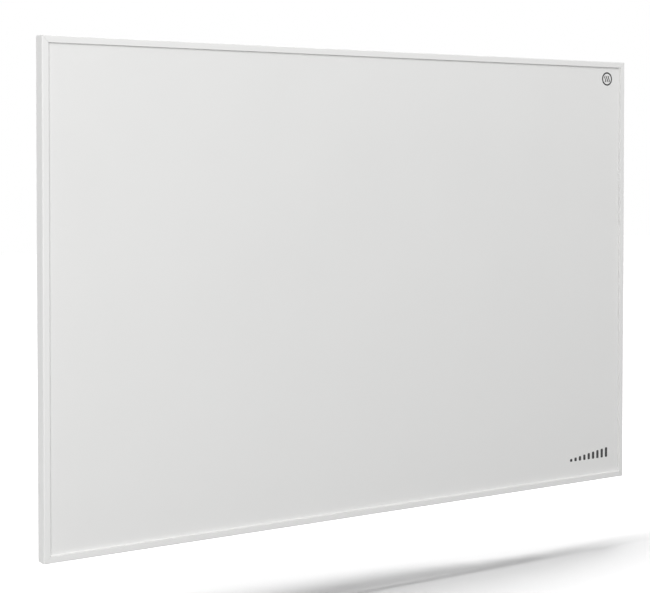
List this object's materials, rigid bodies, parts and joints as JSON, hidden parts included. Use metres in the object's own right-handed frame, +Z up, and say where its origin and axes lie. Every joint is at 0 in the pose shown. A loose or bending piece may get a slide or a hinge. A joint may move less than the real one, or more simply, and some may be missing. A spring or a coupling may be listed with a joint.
{
  "type": "infrared panel heater",
  "caption": "Flat white infrared panel heater in a slim mitred frame, hung on wall spacers by keyhole brackets, with a rear control box, rocker switch and cable gland.",
  "frame": {"origin": "on the wall plane, behind the middle of the panel", "axes": "+X to the right as seen from the room, +Y into the wall, +Z up; the panel faces -Y"},
  "size_m": [0.905, 0.0465, 0.605],
  "materials": {
    "panel_paint": "white polyester powder coat, fine satin texture",
    "frame_paint": "white powder coat on extruded aluminium, satin",
    "gasket_foam": "closed-cell foam tape, matt",
    "insulating_film": "polyester film, slightly glossy",
    "track_foil": "etched resistance foil, bright",
    "bright_foil": "rolled foil, bright",
    "mineral_board": "pressed mineral fibre, matt",
    "galvanised_sheet": "hot-dip galvanised sheet with fine spangle",
    "zinc_plate": "bright zinc plate",
    "key_alloy": "bare aluminium, satin",
    "white_plastic": "moulded, fine spark-eroded texture",
    "switch_plastic": "black moulded, semi-gloss",
    "gland_nylon": "grey moulded nylon",
    "seal_rubber": "black moulded rubber, matt",
    "phenolic": "brown phenolic moulding",
    "glazed_block": "white steatite",
    "lead_red": "silicone insulation",
    "lead_blue": "silicone insulation",
    "lead_green": "silicone insulation"
  },
  "bodies": {
    "wall_fixings": {"wall_spacer_1": "white_plastic", "wall_screw_1": "zinc_plate", "wall_spacer_2": "white_plastic", "wall_screw_2": "zinc_plate", "wall_spacer_3": "white_plastic", "wall_screw_3": "zinc_plate", "wall_spacer_4": "white_plastic", "wall_screw_4": "zinc_plate"},
    "heater": {"plate_gasket": "gasket_foam", "front_plate": "panel_paint", "insulating_sheet_front": "insulating_film", "heating_track": "track_foil", "insulating_sheet_rear": "insulating_film", "reflector_foil": "bright_foil", "insulation_board": "mineral_board", "rear_cover": "galvanised_sheet", "frame_left": "frame_paint", "frame_right": "frame_paint", "frame_bottom": "frame_paint", "frame_top": "frame_paint", "corner_key_bottom_left": "key_alloy", "corner_key_top_left": "key_alloy", "corner_key_top_right": "key_alloy", "corner_key_bottom_right": "key_alloy", "control_box_base": "white_plastic", "control_box_lid": "white_plastic", "switch_housing": "switch_plastic", "gland_body": "gland_nylon", "gland_nut": "gland_nylon", "gland_seal": "seal_rubber", "gland_locknut": "gland_nylon", "terminal_block": "glazed_block", "thermostat": "phenolic", "thermal_fuse": "zinc_plate", "lead_live": "lead_red", "lead_switched": "lead_red", "lead_neutral": "lead_blue", "lead_earth": "lead_green", "earth_stud": "zinc_plate", "earth_nut": "zinc_plate", "hanger_bracket_1": "galvanised_sheet", "lid_screw_1": "zinc_plate", "hanger_bracket_2": "galvanised_sheet", "lid_screw_2": "zinc_plate", "hanger_bracket_3": "galvanised_sheet", "lid_screw_3": "zinc_plate", "hanger_bracket_4": "galvanised_sheet", "lid_screw_4": "zinc_plate", "hanger_rivet_1": "key_alloy", "hanger_rivet_2": "key_alloy", "hanger_rivet_3": "key_alloy", "hanger_rivet_4": "key_alloy", "hanger_rivet_5": "key_alloy", "hanger_rivet_6": "key_alloy", "hanger_rivet_7": "key_alloy", "hanger_rivet_8": "key_alloy", "box_rivet_1": "key_alloy", "box_rivet_2": "key_alloy"},
    "rocker": {"switch_rocker": "switch_plastic"}
  },
  "joints": [
    {"name": "panel_lift", "type": "slide", "parent": "wall_fixings", "child": "heater", "axis": [0, 0, 1], "range_m": [0, 0.012]},
    {"name": "rocker_tilt", "type": "hinge", "parent": "heater", "child": "rocker", "pos_m": [0.4193, -0.0178, -0.2], "axis": [0, -1, 0], "range_deg": [0, 16]}
  ]
}
